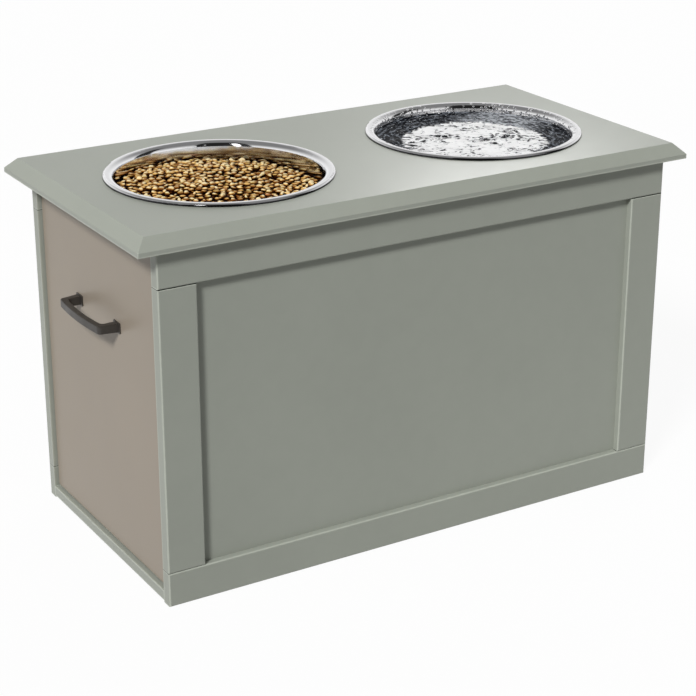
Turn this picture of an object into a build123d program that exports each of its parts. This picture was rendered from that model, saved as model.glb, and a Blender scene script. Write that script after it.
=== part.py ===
from build123d import *
import os

# Elevated dog feeder: a painted cabinet with two steel bowls hung in its top and a drawer in its left end.
# Millimetres. The origin is under the middle of the top board, on the floor. +X runs along the cabinet away
# from the drawer, -Y is the front frame's side and +Z is up. "Near" pieces lie on the front frame's side,
# "far" pieces are their mirror images on the back frame's side.

# ---------------------------------------------------------------- driving dimensions

# Top board and the cabinet under it
top_length = 600
top_depth = 305
total_height = 360
top_thickness = 15
top_bevel = 10.5
overhang_side = 21
overhang_front = 9
overhang_back = 15

# Frame and panel sides
board = 12
stile_width = 38
top_rail_height = 35
bottom_rail_height = 34
panel_thickness = 5
rebate_width = 8
panel_fit = 0.5
edge_round = 1.5

# Bottom board, right end panel and the cleats under the top
base_thickness = 10
base_lift = 2
end_panel_recess = 4
cleat_size = 18
cleat_end_gap = 12

# Bowls
bowl_end_inset = 155
bowl_rim_radius = 110
bowl_lip_width = 10
bowl_lip_rise = 2.3
bowl_lip_round = 5
bowl_curl_radius = 2
bowl_depth = 76
bowl_base_radius = 90
bowl_base_round = 24
bowl_sheet = 0.7
bowl_hole_gap = 3
bowl_hole_round = 1
bowl_seat_gap = 0.05

# Drawer
drawer_front_recess = 4
drawer_front_gap = 1.5
drawer_front_lift = 2
drawer_lift = 8
drawer_side_height = 235
drawer_bottom_thickness = 4
groove_depth = 5
groove_height = 8
groove_fit = 0.4
drawer_rear_gap = 26

# Handle
handle_height = 244
handle_centres = 85
handle_reach = 20
handle_bow = 3
handle_bar = 6
handle_bar_height = 7.6
handle_taper = 2
handle_foot_height = 8.8
handle_leg = 8
handle_corner = 4
handle_collar_length = 13.6
handle_collar_height = 10.4
handle_collar = 1.2
handle_edge_round = 0.8

# Roller runners, one pair each side of the drawer and as long as the drawer
runner_gap = 12.5
runner_end_gap = 2
runner_height = 24
runner_flange = 10
runner_sheet = 1.2
runner_bend = 0.8
runner_lift = 2
runner_mouth = 30
runway_width = 9.3
drawer_runner_tuck = 10
roller_inset = 16
cabinet_roller_radius = 12
drawer_roller_radius = 10
roller_width = 6
roller_round = 0.8
roller_gap = 0.3
roller_side_gap = 1
roller_pin_radius = 2.5
roller_pin_fit = 0.08
roller_spigot_radius = 1.6
roller_pin_head_radius = 4
roller_pin_head = 0.7

# Dowels and screws
dowel_radius = 3
dowel_fit = 0.15
dowel_rail_depth = 8
dowel_depth = 15
dowel_first = 8
dowel_pitch = 14
base_dowel_count = 4
end_dowel_count = 3
drawer_dowel_count = 3
drawer_dowel_inset = 24
screw_radius = 1.75
screw_head_radius = 3.4
screw_fit = 0.15
screw_bite = 9
countersink = 45
cleat_up_screws = 3
cleat_side_screws = 4
drawer_screw_bite = 18
runner_screws = 3
runner_screw_head = 1.2
runner_screw_gap = 1
runner_screw_inset = 32
drawer_runner_screw_inset = 3.8
handle_screw_radius = 2
handle_screw_bite = 7
handle_screw_head_radius = 4
handle_screw_head = 2.4

# ---------------------------------------------------------------- lines that the pieces share

cabinet_height = total_height - top_thickness
left_x = overhang_side - top_length / 2
right_x = top_length / 2 - overhang_side
front_y = overhang_front - top_depth / 2
back_y = top_depth / 2 - overhang_back
middle_y = (front_y + back_y) / 2
near_wall = front_y + board
far_wall = back_y - board
inner_width = far_wall - near_wall
middle_plane = Plane.XZ.offset(-middle_y)

low_seam = bottom_rail_height
high_seam = cabinet_height - top_rail_height
stile_height = high_seam - low_seam
base_top = base_lift + base_thickness

end_panel_outer = right_x - end_panel_recess
end_panel_inner = end_panel_outer - board
drawer_face = left_x + drawer_front_recess
drawer_start = drawer_face + board
drawer_end = end_panel_inner - drawer_rear_gap
runner_length = drawer_end - drawer_start
drawer_near = near_wall + runner_gap
drawer_far = far_wall - runner_gap
drawer_width = drawer_far - drawer_near
drawer_middle_x = (drawer_start + drawer_end) / 2
drawer_low = base_top + drawer_lift
drawer_high = drawer_low + drawer_side_height
groove_low = drawer_low + groove_height
bottom_high = groove_low + drawer_bottom_thickness
groove_width = drawer_bottom_thickness + groove_fit
front_low = base_top + drawer_front_lift
front_high = cabinet_height - drawer_front_lift

runner_low = base_top + runner_lift
runner_start = drawer_start + runner_end_gap
channel_floor = runner_low + runner_sheet
cabinet_roller_z = channel_floor + 2 * roller_gap + cabinet_roller_radius
runway_low = cabinet_roller_z + cabinet_roller_radius + roller_gap
drawer_roller_z = channel_floor + roller_gap + drawer_roller_radius
cabinet_roller_x = runner_start + roller_inset
drawer_roller_x = runner_start + runner_length - roller_inset
cabinet_roller_y = near_wall + runner_sheet + roller_side_gap
drawer_roller_y = drawer_near - runner_sheet - roller_side_gap - roller_width

bowl_mouth_radius = bowl_rim_radius - bowl_lip_width
bowl_hole_radius = bowl_mouth_radius + bowl_sheet + bowl_hole_gap
bowl_bottom = total_height - bowl_depth
bowl_x = top_length / 2 - bowl_end_inset
bowl_centres = [(-bowl_x, middle_y), (bowl_x, middle_y)]


# ---------------------------------------------------------------- shapes that repeat

def rods(starts, direction, radius, length, mode=Mode.ADD):
    """Round bars, or round holes, of one size that start at these points and run one way."""
    for start in starts:
        with BuildSketch(Plane(origin=start, z_dir=direction)) as end:
            Circle(radius)
        extrude(end.sketch, amount=length, mode=mode)


def screws(starts, direction, length, fit=0, mode=Mode.ADD):
    """Countersunk screws with their heads flush at these points, or the holes that clear them by fit."""
    for start in starts:
        with BuildSketch(Plane(origin=start, z_dir=direction)) as head:
            Circle(screw_head_radius + fit)
        extrude(head.sketch, amount=screw_head_radius - screw_radius, taper=countersink, mode=mode)
    rods(starts, direction, screw_radius + fit, length + fit, mode)


def mirrored(piece):
    """The same piece on the other side of the cabinet's middle plane."""
    with BuildPart() as other:
        mirror(piece.part, about=middle_plane)
    return other


def corner_dowels(z):
    """Where the dowels of the front frame's four corners cross one seam."""
    steps = [dowel_first, dowel_first + dowel_pitch]
    middle = front_y + board / 2
    return [(left_x + step, middle, z) for step in steps] + [(right_x - step, middle, z) for step in steps]


def spread(first, last, count):
    """Evenly spaced values from first to last."""
    return [first + (last - first) * step / (count - 1) for step in range(count)]


base_dowel_xs = spread(left_x + 2 * stile_width, right_x - 2 * stile_width, base_dowel_count)
end_dowel_zs = spread(low_seam + stile_width, high_seam - stile_width, end_dowel_count)
end_dowel_x = end_panel_inner + board / 2
base_dowel_z = base_lift + base_thickness / 2
cleat_start = drawer_start + cleat_end_gap
cleat_end = end_panel_inner - cleat_end_gap
cleat_screw_xs = spread(cleat_start + cleat_size, cleat_end - cleat_size, cleat_up_screws)
cleat_low = cabinet_height - cleat_size
cleat_up_starts = [(x, near_wall + cleat_size / 2, cleat_low) for x in cleat_screw_xs]
cleat_side_xs = spread(cleat_start + 2 * cleat_size, cleat_end - 2 * cleat_size, cleat_side_screws)
cleat_side_starts = [(x, near_wall + cleat_size, cabinet_height - cleat_size / 2) for x in cleat_side_xs]
runner_end = runner_start + runner_length
runner_screw_xs = spread(runner_start + runner_screw_inset, runner_end - runner_screw_inset, runner_screws)
runner_screw_z = channel_floor + screw_head_radius + runner_screw_gap
drawer_runner_heads = [
    (x, drawer_near + drawer_runner_screw_inset, drawer_low - runner_sheet) for x in runner_screw_xs
]
drawer_joint_zs = spread(bottom_high + drawer_dowel_inset, drawer_high - drawer_dowel_inset, drawer_dowel_count)


# ---------------------------------------------------------------- front and back frames

def front_rail(z_low, z_high, seam, away):
    """A full-length rail. The stiles meet it at the seam, and it lies on the away side (+1 up, -1 down)."""
    with BuildPart() as rail:
        with BuildSketch(Plane.XZ.offset(-front_y)):
            with Locations((0, (z_low + z_high) / 2)):
                Rectangle(right_x - left_x, z_high - z_low)
        extrude(amount=-board)
        fillet(rail.faces().sort_by(Axis.Y)[0].edges(), radius=edge_round)
        with BuildSketch(Plane.XZ.offset(-near_wall)):
            with Locations((0, seam + away * rebate_width / 2)):
                Rectangle(right_x - left_x - 2 * (stile_width - rebate_width), rebate_width)
        extrude(amount=panel_thickness, mode=Mode.SUBTRACT)
        corners = corner_dowels(seam)
        rods(corners, (0, 0, away), dowel_radius + dowel_fit, dowel_depth + dowel_fit, Mode.SUBTRACT)
        if away > 0:
            bites = [(x, near_wall, z) for x, y, z in cleat_side_starts]
            rods(bites, (0, -1, 0), screw_radius + screw_fit, screw_bite + screw_fit, Mode.SUBTRACT)
        else:
            base_starts = [(x, near_wall, base_dowel_z) for x in base_dowel_xs]
            rods(base_starts, (0, -1, 0), dowel_radius + dowel_fit, dowel_rail_depth + dowel_fit, Mode.SUBTRACT)
            bites = [(x, near_wall, runner_screw_z) for x in runner_screw_xs]
            rods(bites, (0, -1, 0), screw_radius + screw_fit, screw_bite + screw_fit, Mode.SUBTRACT)
    return rail


def front_stile(outer_x, inward):
    """An upright between the rails, with its outer edge at outer_x and the panel on its inward side."""
    with BuildPart() as stile:
        with BuildSketch(Plane.XZ.offset(-front_y)):
            with Locations((outer_x + inward * stile_width / 2, low_seam + stile_height / 2)):
                Rectangle(stile_width, stile_height)
        extrude(amount=-board)
        fillet(stile.faces().sort_by(Axis.Y)[0].edges(), radius=edge_round)
        with BuildSketch(Plane.XZ.offset(-near_wall)):
            with Locations((outer_x + inward * (stile_width - rebate_width / 2), low_seam + stile_height / 2)):
                Rectangle(rebate_width, stile_height)
        extrude(amount=panel_thickness, mode=Mode.SUBTRACT)
        for seam, away in ((low_seam, 1), (high_seam, -1)):
            starts = [start for start in corner_dowels(seam) if start[0] * outer_x > 0]
            rods(starts, (0, 0, away), dowel_radius + dowel_fit, dowel_depth + dowel_fit, Mode.SUBTRACT)
        if inward < 0:
            starts = [(end_dowel_x, near_wall, z) for z in end_dowel_zs]
            rods(starts, (0, -1, 0), dowel_radius + dowel_fit, dowel_rail_depth + dowel_fit, Mode.SUBTRACT)
    return stile


front_bottom_rail = front_rail(0, low_seam, low_seam, -1)
front_top_rail = front_rail(high_seam, cabinet_height, high_seam, 1)
front_left_stile = front_stile(left_x, 1)
front_right_stile = front_stile(right_x, -1)

with BuildPart() as front_panel:
    with BuildSketch(Plane.XZ.offset(-near_wall)):
        with Locations((0, low_seam + stile_height / 2)):
            Rectangle(
                right_x - left_x - 2 * (stile_width - rebate_width + panel_fit),
                stile_height + 2 * (rebate_width - panel_fit),
            )
    extrude(amount=panel_thickness)

with BuildPart() as front_frame_dowels:
    for seam in (low_seam, high_seam):
        starts = [(x, y, z - dowel_depth) for x, y, z in corner_dowels(seam)]
        rods(starts, (0, 0, 1), dowel_radius, 2 * dowel_depth)

back_bottom_rail = mirrored(front_bottom_rail)
back_top_rail = mirrored(front_top_rail)
back_left_stile = mirrored(front_left_stile)
back_right_stile = mirrored(front_right_stile)
back_panel = mirrored(front_panel)
back_frame_dowels = mirrored(front_frame_dowels)

# ---------------------------------------------------------------- boards between the frames

with BuildPart() as bottom_board:
    with BuildSketch(Plane.XY.offset(base_lift)):
        with Locations((0, middle_y)):
            Rectangle(right_x - left_x, inner_width)
    extrude(amount=base_thickness)
    fillet(bottom_board.edges().filter_by(Axis.Y).group_by(Axis.Z)[-1], radius=edge_round / 2)
    for wall, inward in ((near_wall, 1), (far_wall, -1)):
        starts = [(x, wall, base_dowel_z) for x in base_dowel_xs]
        rods(starts, (0, inward, 0), dowel_radius + dowel_fit, dowel_depth + dowel_fit, Mode.SUBTRACT)

with BuildPart() as bottom_board_dowels:
    for wall, inward in ((near_wall, 1), (far_wall, -1)):
        starts = [(x, wall - inward * dowel_rail_depth, base_dowel_z) for x in base_dowel_xs]
        rods(starts, (0, inward, 0), dowel_radius, dowel_rail_depth + dowel_depth)

with BuildPart() as right_end_panel:
    with BuildSketch(Plane.YZ.offset(end_panel_inner)):
        with Locations((middle_y, (base_top + cabinet_height) / 2)):
            Rectangle(inner_width, cabinet_height - base_top)
    extrude(amount=board)
    for wall, inward in ((near_wall, 1), (far_wall, -1)):
        starts = [(end_dowel_x, wall, z) for z in end_dowel_zs]
        rods(starts, (0, inward, 0), dowel_radius + dowel_fit, dowel_depth + dowel_fit, Mode.SUBTRACT)

with BuildPart() as end_panel_dowels:
    for wall, inward in ((near_wall, 1), (far_wall, -1)):
        starts = [(end_dowel_x, wall - inward * dowel_rail_depth, z) for z in end_dowel_zs]
        rods(starts, (0, inward, 0), dowel_radius, dowel_rail_depth + dowel_depth)

with BuildPart() as front_cleat:
    with BuildSketch(Plane.YZ.offset(cleat_start)):
        with Locations((near_wall + cleat_size / 2, cabinet_height - cleat_size / 2)):
            Rectangle(cleat_size, cleat_size)
    extrude(amount=cleat_end - cleat_start)
    chamfer(front_cleat.edges().filter_by(Axis.X).sort_by(Axis.Y)[-2:].sort_by(Axis.Z)[0], length=edge_round)
    screws(cleat_up_starts, (0, 0, 1), cleat_size, screw_fit, Mode.SUBTRACT)
    screws(cleat_side_starts, (0, -1, 0), cleat_size, screw_fit, Mode.SUBTRACT)

with BuildPart() as front_cleat_screws:
    screws(cleat_up_starts, (0, 0, 1), cleat_size + screw_bite)
    screws(cleat_side_starts, (0, -1, 0), cleat_size + screw_bite)

back_cleat = mirrored(front_cleat)
back_cleat_screws = mirrored(front_cleat_screws)

# ---------------------------------------------------------------- top board and bowls

with BuildPart() as top_board:
    with BuildSketch(Plane.XY.offset(cabinet_height)):
        Rectangle(top_length, top_depth)
    extrude(amount=top_thickness)
    chamfer(top_board.faces().sort_by(Axis.Z)[-1].edges(), length=top_bevel)
    with BuildSketch(Plane.XY.offset(cabinet_height)):
        with Locations(*bowl_centres):
            Circle(bowl_hole_radius)
    extrude(amount=top_thickness, mode=Mode.SUBTRACT)
    fillet(top_board.edges().filter_by(GeomType.CIRCLE).group_by(Axis.Z)[-1], radius=bowl_hole_round)
    for wall, inward in ((near_wall, 1), (far_wall, -1)):
        bites = [(x, wall + inward * cleat_size / 2, cabinet_height) for x in cleat_screw_xs]
        rods(bites, (0, 0, 1), screw_radius + screw_fit, screw_bite + screw_fit, Mode.SUBTRACT)


def steel_bowl(centre):
    """A spun bowl that hangs in the top by its rolled lip. The line drawn is the sheet's outer surface."""
    x, y = centre
    seat = total_height + bowl_seat_gap
    lip = seat + bowl_lip_rise
    with BuildPart() as bowl:
        with BuildSketch(Plane(origin=(x, y, 0), x_dir=(1, 0, 0), z_dir=(0, -1, 0))):
            with BuildLine():
                FilletPolyline(
                    (0, bowl_bottom),
                    (bowl_base_radius, bowl_bottom),
                    (bowl_mouth_radius + bowl_sheet, lip),
                    (bowl_rim_radius - bowl_sheet, lip),
                    (bowl_rim_radius - bowl_sheet, seat),
                    radius=(bowl_base_round, bowl_lip_round, bowl_curl_radius),
                )
                offset(amount=bowl_sheet, side=Side.LEFT)
            make_face()
        revolve(axis=Axis((x, y, 0), (0, 0, 1)))
    return bowl


food_bowl = steel_bowl(bowl_centres[0])
water_bowl = steel_bowl(bowl_centres[1])

# ---------------------------------------------------------------- roller runners

with BuildPart() as near_cabinet_runner:
    with BuildSketch(Plane.YZ.offset(runner_start)):
        with BuildLine():
            FilletPolyline(
                (near_wall + runner_flange, runner_low),
                (near_wall, runner_low),
                (near_wall, runner_low + runner_height),
                (near_wall + runner_flange, runner_low + runner_height),
                radius=runner_bend + runner_sheet,
            )
            offset(amount=runner_sheet, side=Side.RIGHT)
        make_face()
    extrude(amount=runner_length)
    with BuildSketch(Plane.YZ.offset(runner_start)):
        with Locations((near_wall + runner_sheet + runner_flange / 2, runner_low + runner_height)):
            Rectangle(runner_flange, runner_height / 2)
    extrude(amount=runner_mouth, mode=Mode.SUBTRACT)
    pin_hole = [(cabinet_roller_x, near_wall, cabinet_roller_z)]
    rods(pin_hole, (0, 1, 0), roller_spigot_radius + roller_pin_fit, runner_sheet, Mode.SUBTRACT)
    screw_holes = [(x, near_wall, runner_screw_z) for x in runner_screw_xs]
    rods(screw_holes, (0, 1, 0), screw_radius + screw_fit, runner_sheet, Mode.SUBTRACT)

with BuildPart() as near_drawer_runner:
    with BuildSketch(Plane.YZ.offset(drawer_start)):
        with BuildLine():
            FilletPolyline(
                (drawer_near + drawer_runner_tuck, drawer_low),
                (drawer_near, drawer_low),
                (drawer_near, runway_low + runner_sheet),
                (drawer_near - runner_sheet - runway_width, runway_low + runner_sheet),
                radius=runner_bend,
            )
            offset(amount=runner_sheet, side=Side.LEFT)
        make_face()
    extrude(amount=runner_length)
    pin_hole = [(drawer_roller_x, drawer_near, drawer_roller_z)]
    rods(pin_hole, (0, -1, 0), roller_spigot_radius + roller_pin_fit, runner_sheet, Mode.SUBTRACT)
    rods(drawer_runner_heads, (0, 0, 1), screw_radius + screw_fit, runner_sheet, Mode.SUBTRACT)


def roller(x, y, z, radius):
    """A nylon wheel that turns on its pin, with y at its near face."""
    with BuildPart() as wheel:
        with BuildSketch(Plane.XZ.offset(-y)):
            with Locations((x, z)):
                Circle(radius)
                Circle(roller_pin_radius + roller_pin_fit, mode=Mode.SUBTRACT)
        extrude(amount=-roller_width)
        fillet(wheel.edges().filter_by(GeomType.CIRCLE).sort_by(SortBy.RADIUS)[-2:], radius=roller_round)
    return wheel


def roller_pin(x, web_y, z, inward):
    """A shouldered pin: a spigot in the web's hole, a journal for the roller and a head that keeps it on."""
    journal_start = web_y + inward * runner_sheet
    journal_length = roller_side_gap + roller_width + roller_gap
    head_start = journal_start + inward * journal_length
    with BuildPart() as pin:
        rods([(x, web_y, z)], (0, inward, 0), roller_spigot_radius, runner_sheet)
        rods([(x, journal_start, z)], (0, inward, 0), roller_pin_radius, journal_length)
        rods([(x, head_start, z)], (0, inward, 0), roller_pin_head_radius, roller_pin_head)
    return pin


near_cabinet_roller = roller(cabinet_roller_x, cabinet_roller_y, cabinet_roller_z, cabinet_roller_radius)
near_drawer_roller = roller(drawer_roller_x, drawer_roller_y, drawer_roller_z, drawer_roller_radius)
near_cabinet_roller_pin = roller_pin(cabinet_roller_x, near_wall, cabinet_roller_z, 1)
near_drawer_roller_pin = roller_pin(drawer_roller_x, drawer_near, drawer_roller_z, -1)

with BuildPart() as near_cabinet_runner_screws:
    heads = [(x, near_wall + runner_sheet, runner_screw_z) for x in runner_screw_xs]
    rods(heads, (0, 1, 0), screw_head_radius, runner_screw_head)
    rods(heads, (0, -1, 0), screw_radius, runner_sheet + screw_bite)

with BuildPart() as near_drawer_runner_screws:
    rods(drawer_runner_heads, (0, 0, -1), screw_head_radius, runner_screw_head)
    rods(drawer_runner_heads, (0, 0, 1), screw_radius, runner_sheet + screw_bite)

far_cabinet_runner = mirrored(near_cabinet_runner)
far_drawer_runner = mirrored(near_drawer_runner)
far_cabinet_roller = mirrored(near_cabinet_roller)
far_drawer_roller = mirrored(near_drawer_roller)
far_cabinet_roller_pin = mirrored(near_cabinet_roller_pin)
far_drawer_roller_pin = mirrored(near_drawer_roller_pin)
far_cabinet_runner_screws = mirrored(near_cabinet_runner_screws)
far_drawer_runner_screws = mirrored(near_drawer_runner_screws)

# ---------------------------------------------------------------- drawer box

side_dowels = [(drawer_start, drawer_near + board / 2, z) for z in drawer_joint_zs]
rear_screws = [(drawer_end - board / 2, drawer_near, z) for z in drawer_joint_zs]
handle_posts = [middle_y - handle_centres / 2, middle_y + handle_centres / 2]

with BuildPart() as drawer_front:
    with BuildSketch(Plane.YZ.offset(drawer_face)):
        with Locations((middle_y, (front_low + front_high) / 2)):
            Rectangle(inner_width - 2 * drawer_front_gap, front_high - front_low)
    extrude(amount=board)
    fillet(drawer_front.faces().sort_by(Axis.X)[0].edges(), radius=edge_round)
    with BuildSketch(Plane.YZ.offset(drawer_start)):
        with Locations((middle_y, groove_low + groove_width / 2)):
            Rectangle(drawer_width - 2 * (board - groove_depth), groove_width)
    extrude(amount=-groove_depth, mode=Mode.SUBTRACT)
    for y in (drawer_near + board / 2, drawer_far - board / 2):
        starts = [(drawer_start, y, z) for z in drawer_joint_zs]
        rods(starts, (-1, 0, 0), dowel_radius + dowel_fit, dowel_rail_depth + dowel_fit, Mode.SUBTRACT)
    starts = [(drawer_start, y, handle_height) for y in handle_posts]
    rods(starts, (-1, 0, 0), handle_screw_radius + screw_fit, board, Mode.SUBTRACT)

with BuildPart() as drawer_near_side:
    with BuildSketch(Plane.XZ.offset(-drawer_near)):
        with Locations((drawer_middle_x, (drawer_low + drawer_high) / 2)):
            Rectangle(runner_length, drawer_side_height)
    extrude(amount=-board)
    fillet(drawer_near_side.edges().filter_by(Axis.X), radius=edge_round)
    with BuildSketch(Plane.XZ.offset(-drawer_near - board)):
        with Locations((drawer_middle_x, groove_low + groove_width / 2)):
            Rectangle(runner_length, groove_width)
    extrude(amount=groove_depth, mode=Mode.SUBTRACT)
    rods(side_dowels, (1, 0, 0), dowel_radius + dowel_fit, dowel_depth + dowel_fit, Mode.SUBTRACT)
    screws(rear_screws, (0, 1, 0), board, screw_fit, Mode.SUBTRACT)
    bites = [(x, y, drawer_low) for x, y, _ in drawer_runner_heads]
    rods(bites, (0, 0, 1), screw_radius + screw_fit, screw_bite + screw_fit, Mode.SUBTRACT)

drawer_far_side = mirrored(drawer_near_side)

with BuildPart() as drawer_rear:
    with BuildSketch(Plane.YZ.offset(drawer_end - board)):
        with Locations((middle_y, (bottom_high + drawer_high) / 2)):
            Rectangle(drawer_width - 2 * board, drawer_high - bottom_high)
    extrude(amount=board)
    fillet(drawer_rear.edges().filter_by(Axis.Y).group_by(Axis.Z)[-1], radius=edge_round)
    for y, inward in ((drawer_near + board, 1), (drawer_far - board, -1)):
        bites = [(x, y, z) for x, _, z in rear_screws]
        rods(bites, (0, inward, 0), screw_radius + screw_fit, drawer_screw_bite + screw_fit, Mode.SUBTRACT)

with BuildPart() as drawer_bottom:
    with BuildSketch(Plane.XY.offset(groove_low)):
        with Locations(((drawer_start - groove_depth + panel_fit + drawer_end) / 2, middle_y)):
            Rectangle(
                drawer_end - drawer_start + groove_depth - panel_fit,
                drawer_width - 2 * (board - groove_depth + panel_fit),
            )
    extrude(amount=drawer_bottom_thickness)

with BuildPart() as drawer_dowels:
    for y in (drawer_near + board / 2, drawer_far - board / 2):
        starts = [(drawer_start - dowel_rail_depth, y, z) for z in drawer_joint_zs]
        rods(starts, (1, 0, 0), dowel_radius, dowel_rail_depth + dowel_depth)

with BuildPart() as drawer_screws:
    screws(rear_screws, (0, 1, 0), board + drawer_screw_bite)
    screws([(x, drawer_far, z) for x, _, z in rear_screws], (0, -1, 0), board + drawer_screw_bite)

# ---------------------------------------------------------------- handle

leg_out = handle_centres / 2 + handle_leg / 2
bar_out = leg_out - handle_taper
bar_in = handle_centres / 2 - handle_leg / 2
face = drawer_face - handle_reach
handle_tip = face - handle_bow

with BuildPart() as drawer_handle:
    with BuildSketch(Plane.XY.offset(handle_height)) as plan:
        with BuildLine():
            Line((drawer_face, middle_y - leg_out), (face, middle_y - bar_out))
            ThreePointArc(
                (face, middle_y - bar_out),
                (handle_tip, middle_y),
                (face, middle_y + bar_out),
            )
            Line((face, middle_y + bar_out), (drawer_face, middle_y + leg_out))
            Line((drawer_face, middle_y + leg_out), (drawer_face, middle_y + bar_in))
            Line((drawer_face, middle_y + bar_in), (face + handle_bar, middle_y + bar_in))
            ThreePointArc(
                (face + handle_bar, middle_y + bar_in),
                (handle_tip + handle_bar, middle_y),
                (face + handle_bar, middle_y - bar_in),
            )
            Line((face + handle_bar, middle_y - bar_in), (drawer_face, middle_y - bar_in))
            Line((drawer_face, middle_y - bar_in), (drawer_face, middle_y - leg_out))
        make_face()
        fillet(plan.vertices().group_by(Axis.X)[0], radius=handle_corner)
    extrude(amount=handle_foot_height / 2, both=True)
    fillet(drawer_handle.edges().filter_by(Axis.Z).filter_by(
        lambda edge: abs(edge.center().X - face - handle_bar) < handle_edge_round), radius=handle_corner)
    with BuildSketch(Plane.XZ.offset(-middle_y)):
        with BuildLine():
            Polyline(
                (drawer_face, handle_height + handle_foot_height / 2),
                (handle_tip, handle_height + handle_bar_height / 2),
                (handle_tip, handle_height - handle_bar_height / 2),
                (drawer_face, handle_height - handle_foot_height / 2),
                close=True,
            )
        make_face()
    extrude(amount=handle_centres, both=True, mode=Mode.INTERSECT)
    rim = drawer_handle.edges().filter_by(lambda edge: edge.center().X < drawer_face - handle_edge_round)
    fillet(rim.filter_by(Axis.Z, reverse=True), radius=handle_edge_round)
    with BuildSketch(Plane.YZ.offset(drawer_face)):
        with Locations(*[(y, handle_height) for y in handle_posts]):
            RectangleRounded(handle_collar_length, handle_collar_height, handle_edge_round)
    extrude(amount=-handle_collar)
    starts = [(drawer_face, y, handle_height) for y in handle_posts]
    rods(starts, (-1, 0, 0), handle_screw_radius + screw_fit, handle_screw_bite + screw_fit, Mode.SUBTRACT)

with BuildPart() as handle_screws:
    starts = [(drawer_start, y, handle_height) for y in handle_posts]
    rods(starts, (-1, 0, 0), handle_screw_radius, board + handle_screw_bite)
    rods(starts, (1, 0, 0), handle_screw_head_radius, handle_screw_head)


pieces = {
    "front_bottom_rail": front_bottom_rail,
    "front_top_rail": front_top_rail,
    "front_left_stile": front_left_stile,
    "front_right_stile": front_right_stile,
    "front_panel": front_panel,
    "front_frame_dowels": front_frame_dowels,
    "back_bottom_rail": back_bottom_rail,
    "back_top_rail": back_top_rail,
    "back_left_stile": back_left_stile,
    "back_right_stile": back_right_stile,
    "back_panel": back_panel,
    "back_frame_dowels": back_frame_dowels,
    "bottom_board": bottom_board,
    "bottom_board_dowels": bottom_board_dowels,
    "right_end_panel": right_end_panel,
    "end_panel_dowels": end_panel_dowels,
    "front_cleat": front_cleat,
    "back_cleat": back_cleat,
    "front_cleat_screws": front_cleat_screws,
    "back_cleat_screws": back_cleat_screws,
    "top_board": top_board,
    "food_bowl": food_bowl,
    "water_bowl": water_bowl,
    "near_cabinet_runner": near_cabinet_runner,
    "near_drawer_runner": near_drawer_runner,
    "near_cabinet_roller": near_cabinet_roller,
    "near_drawer_roller": near_drawer_roller,
    "near_cabinet_roller_pin": near_cabinet_roller_pin,
    "near_drawer_roller_pin": near_drawer_roller_pin,
    "near_cabinet_runner_screws": near_cabinet_runner_screws,
    "near_drawer_runner_screws": near_drawer_runner_screws,
    "far_cabinet_runner": far_cabinet_runner,
    "far_drawer_runner": far_drawer_runner,
    "far_cabinet_roller": far_cabinet_roller,
    "far_drawer_roller": far_drawer_roller,
    "far_cabinet_roller_pin": far_cabinet_roller_pin,
    "far_drawer_roller_pin": far_drawer_roller_pin,
    "far_cabinet_runner_screws": far_cabinet_runner_screws,
    "far_drawer_runner_screws": far_drawer_runner_screws,
    "drawer_front": drawer_front,
    "drawer_near_side": drawer_near_side,
    "drawer_far_side": drawer_far_side,
    "drawer_rear": drawer_rear,
    "drawer_bottom": drawer_bottom,
    "drawer_dowels": drawer_dowels,
    "drawer_screws": drawer_screws,
    "drawer_handle": drawer_handle,
    "handle_screws": handle_screws,
}
os.makedirs("parts", exist_ok=True)
for name, piece in pieces.items():
    piece.part.label = name
    export_step(piece.part, f"parts/{name}.step")
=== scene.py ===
import math
import random

import bpy
from mathutils import Euler, Matrix, Vector, noise


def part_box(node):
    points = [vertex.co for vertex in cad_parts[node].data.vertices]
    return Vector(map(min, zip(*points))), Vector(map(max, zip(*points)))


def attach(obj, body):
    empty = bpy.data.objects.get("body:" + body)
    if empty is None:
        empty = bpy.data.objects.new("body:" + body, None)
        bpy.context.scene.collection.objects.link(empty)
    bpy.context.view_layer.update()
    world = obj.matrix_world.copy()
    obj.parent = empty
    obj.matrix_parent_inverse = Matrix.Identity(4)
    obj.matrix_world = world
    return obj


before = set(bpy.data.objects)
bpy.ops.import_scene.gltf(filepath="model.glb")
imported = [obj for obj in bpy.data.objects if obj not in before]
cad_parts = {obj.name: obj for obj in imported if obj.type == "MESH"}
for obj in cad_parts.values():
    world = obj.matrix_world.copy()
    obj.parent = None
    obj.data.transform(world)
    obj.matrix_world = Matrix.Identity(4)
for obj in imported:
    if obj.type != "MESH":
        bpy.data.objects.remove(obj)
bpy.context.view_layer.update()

bl_info = {
    "name": "Elevated Dog Feeder",
    "version": (1, 0, 0),
    "blender": (4, 5, 0),
    "location": "3D View > Sidebar > Feeder",
    "description": "Finishes, fills and stages an elevated dog feeder with a storage drawer",
    "category": "Object",
}

# Metres throughout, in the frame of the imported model: +X away from the drawer, -Y out of the front, +Z up.

FRAME_PARTS = ("bottom_rail", "top_rail", "left_stile", "right_stile", "panel")
PAINTED_BOARDS = (
    *(f"front_{part}" for part in FRAME_PARTS), *(f"back_{part}" for part in FRAME_PARTS),
    "bottom_board", "right_end_panel", "top_board",
)
INNER_BOARDS = ("front_cleat", "back_cleat", "drawer_near_side", "drawer_far_side", "drawer_rear")
DOWELS = {
    "front_frame_dowels": "Z", "back_frame_dowels": "Z", "bottom_board_dowels": "Y",
    "end_panel_dowels": "Y", "drawer_dowels": "X",
}
MEMBERS = ("near_cabinet", "far_cabinet", "near_drawer", "far_drawer")
PLATED = (
    *(f"{member}_roller_pin" for member in MEMBERS), *(f"{member}_runner_screws" for member in MEMBERS),
    "front_cleat_screws", "back_cleat_screws", "drawer_screws", "handle_screws",
)

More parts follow.
